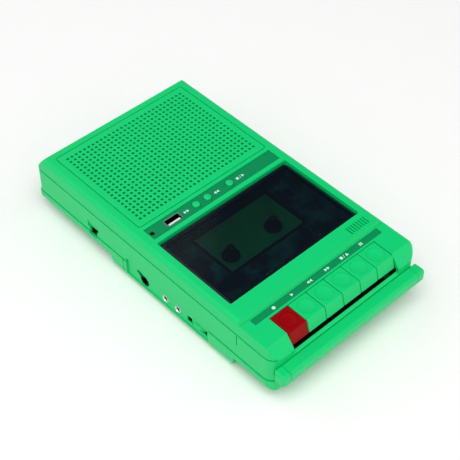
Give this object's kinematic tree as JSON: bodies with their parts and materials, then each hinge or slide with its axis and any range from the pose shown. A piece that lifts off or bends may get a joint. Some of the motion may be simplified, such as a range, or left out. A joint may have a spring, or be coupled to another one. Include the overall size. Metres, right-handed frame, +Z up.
{
  "type": "cassette player",
  "caption": "Flat portable cassette player and recorder with piano keys, smoked lid, hole-field speaker grille, USB socket and pull-out carrying handle",
  "frame": {"origin": "middle of the overall box, on the table the feet stand on", "axes": "+X towards the pause key, jacks on -X; +Y from the keys to the speaker; +Z up"},
  "size_m": [0.145, 0.2666, 0.0531],
  "materials": {
    "green_plastic": "bright green moulded plastic, fine texture, slight sheen",
    "dark_green_print": "dark green satin panel with pale symbols",
    "red_plastic": "deep red moulded plastic",
    "smoked_plastic": "smoked transparent plastic, polished",
    "black_plastic": "black moulded plastic",
    "steel": "plated steel",
    "chrome": "bright nickel plate",
    "brass": "turned brass",
    "aluminium": "machined aluminium",
    "rubber": "soft black rubber",
    "circuit_board": "solder mask over fibreglass",
    "paper": "black pressed paper",
    "ferrite": "sintered ferrite",
    "led_plastic": "dark red lens"
  },
  "bodies": {
    "case": {"battery_contacts": "steel", "bottom_case": "green_plastic", "capstan_bush": "brass", "case_screws": "steel", "cassette_well": "green_plastic", "control_board": "circuit_board", "control_strip": "dark_green_print", "dc_jack": "black_plastic", "drive_belt": "rubber", "handle_guides": "black_plastic", "jack_board": "circuit_board", "key_frame": "steel", "key_label_strip": "dark_green_print", "key_shaft": "steel", "key_springs": "steel", "lid_hinge_pins": "steel", "line_in_jack": "chrome", "line_out_jack": "chrome", "main_board": "circuit_board", "mechanism_chassis": "steel", "microphone": "aluminium", "motor": "steel", "power_led": "led_plastic", "rubber_feet": "rubber", "speaker_cone": "paper", "speaker_frame": "steel", "speaker_grille": "green_plastic", "speaker_magnet": "ferrite", "takeup_belt": "rubber", "top_case": "green_plastic", "usb_socket": "chrome", "volume_control": "black_plastic"},
    "lid": {"cassette_lid": "smoked_plastic"},
    "catch": {"lid_catch": "black_plastic"},
    "handle": {"handle_grip": "green_plastic", "handle_arm_left": "green_plastic", "handle_arm_right": "green_plastic"},
    "heads": {"head_plate": "steel", "record_play_head": "chrome", "erase_head": "aluminium"},
    "pinch_lever": {"pinch_arm": "steel"},
    "pinch_wheel": {"pinch_roller": "rubber"},
    "supply_reel": {"supply_spindle": "black_plastic"},
    "takeup_reel": {"takeup_spindle": "black_plastic"},
    "capstan_wheel": {"capstan": "steel", "flywheel": "brass"},
    "motor_rotor": {"motor_pulley": "brass"},
    "volume_knob": {"volume_wheel": "green_plastic"},
    "battery_cover": {"battery_door": "green_plastic"},
    "lever_record": {"key_record": "red_plastic"},
    "lever_play": {"key_play": "green_plastic"},
    "lever_rewind": {"key_rewind": "green_plastic"},
    "lever_fast_forward": {"key_fast_forward": "green_plastic"},
    "lever_stop_eject": {"key_stop_eject": "green_plastic"},
    "lever_pause": {"key_pause": "green_plastic"},
    "push_next": {"button_next": "green_plastic"},
    "push_previous": {"button_previous": "green_plastic"},
    "push_usb_play": {"button_usb_play": "green_plastic"}
  },
  "joints": [
    {"name": "key_record_press", "type": "hinge", "parent": "case", "child": "lever_record", "pos_m": [0, -0.09215, 0.039], "axis": [1, 0, 0], "range_deg": [0, 7], "stiffness_Nm_per_rad": 0.06, "springref_deg": -14.32},
    {"name": "key_play_press", "type": "hinge", "parent": "case", "child": "lever_play", "pos_m": [0, -0.09215, 0.039], "axis": [1, 0, 0], "range_deg": [0, 7], "stiffness_Nm_per_rad": 0.06, "springref_deg": -14.32},
    {"name": "key_rewind_press", "type": "hinge", "parent": "case", "child": "lever_rewind", "pos_m": [0, -0.09215, 0.039], "axis": [1, 0, 0], "range_deg": [0, 7], "stiffness_Nm_per_rad": 0.06, "springref_deg": -14.32},
    {"name": "key_fast_forward_press", "type": "hinge", "parent": "case", "child": "lever_fast_forward", "pos_m": [0, -0.09215, 0.039], "axis": [1, 0, 0], "range_deg": [0, 7], "stiffness_Nm_per_rad": 0.06, "springref_deg": -14.32},
    {"name": "key_stop_eject_press", "type": "hinge", "parent": "case", "child": "lever_stop_eject", "pos_m": [0, -0.09215, 0.039], "axis": [1, 0, 0], "range_deg": [0, 7], "stiffness_Nm_per_rad": 0.06, "springref_deg": -14.32},
    {"name": "key_pause_press", "type": "hinge", "parent": "case", "child": "lever_pause", "pos_m": [0, -0.09215, 0.039], "axis": [1, 0, 0], "range_deg": [0, 7], "stiffness_Nm_per_rad": 0.06, "springref_deg": -14.32},
    {"name": "lid_hinge", "type": "hinge", "parent": "case", "child": "lid", "pos_m": [0, -0.00045, 0.0482], "axis": [-1, 0, 0], "range_deg": [0, 70]},
    {"name": "catch_slide", "type": "slide", "parent": "case", "child": "catch", "axis": [0, -1, 0], "range_m": [0, 0.0015]},
    {"name": "handle_slide", "type": "slide", "parent": "case", "child": "handle", "axis": [0, -1, 0], "range_m": [0, 0.032]},
    {"name": "head_slide", "type": "slide", "parent": "case", "child": "heads", "axis": [0, 1, 0], "range_m": [0, 0.004]},
    {"name": "pinch_swing", "type": "hinge", "parent": "case", "child": "pinch_lever", "pos_m": [0.0474, -0.07025, 0.0292], "axis": [0, 0, -1], "range_deg": [0, 8]},
    {"name": "pinch_roller_spin", "type": "hinge", "parent": "pinch_lever", "child": "pinch_wheel", "pos_m": [0.0334, -0.06465, 0.033], "axis": [0, 0, 1], "continuous": true},
    {"name": "supply_spin", "type": "hinge", "parent": "case", "child": "supply_reel", "pos_m": [-0.02125, -0.02925, 0.033], "axis": [0, 0, 1], "continuous": true},
    {"name": "takeup_spin", "type": "hinge", "parent": "case", "child": "takeup_reel", "pos_m": [0.02125, -0.02925, 0.033], "axis": [0, 0, 1], "continuous": true},
    {"name": "capstan_spin", "type": "hinge", "parent": "case", "child": "capstan_wheel", "pos_m": [0.0334, -0.05545, 0.033], "axis": [0, 0, 1], "continuous": true},
    {"name": "motor_spin", "type": "hinge", "parent": "case", "child": "motor_rotor", "pos_m": [-0.03, -0.05775, 0.006], "axis": [0, 0, 1], "continuous": true},
    {"name": "volume_turn", "type": "hinge", "parent": "case", "child": "volume_knob", "pos_m": [-0.0597, -0.04775, 0.0117], "axis": [0, 0, 1], "range_deg": [-150, 150]},
    {"name": "button_next_press", "type": "slide", "parent": "case", "child": "push_next", "axis": [0, 0, -1], "range_m": [0, 0.0008], "stiffness_N_per_m": 400, "springref_m": -0.001},
    {"name": "button_previous_press", "type": "slide", "parent": "case", "child": "push_previous", "axis": [0, 0, -1], "range_m": [0, 0.0008], "stiffness_N_per_m": 400, "springref_m": -0.001},
    {"name": "button_usb_play_press", "type": "slide", "parent": "case", "child": "push_usb_play", "axis": [0, 0, -1], "range_m": [0, 0.0008], "stiffness_N_per_m": 400, "springref_m": -0.001},
    {"name": "battery_door_slide", "type": "slide", "parent": "case", "child": "battery_cover", "axis": [0, 1, 0], "range_m": [0, 0.015]}
  ],
  "couplings": [
    {"joint": "head_slide", "follows": "key_play_press", "m_per_rad": 0.0327},
    {"joint": "pinch_swing", "follows": "key_play_press", "ratio": 1.142},
    {"joint": "catch_slide", "follows": "key_stop_eject_press", "m_per_rad": 0.0122},
    {"joint": "takeup_spin", "follows": "capstan_spin", "ratio": 0.625},
    {"joint": "motor_spin", "follows": "capstan_spin", "ratio": 4.8}
  ]
}
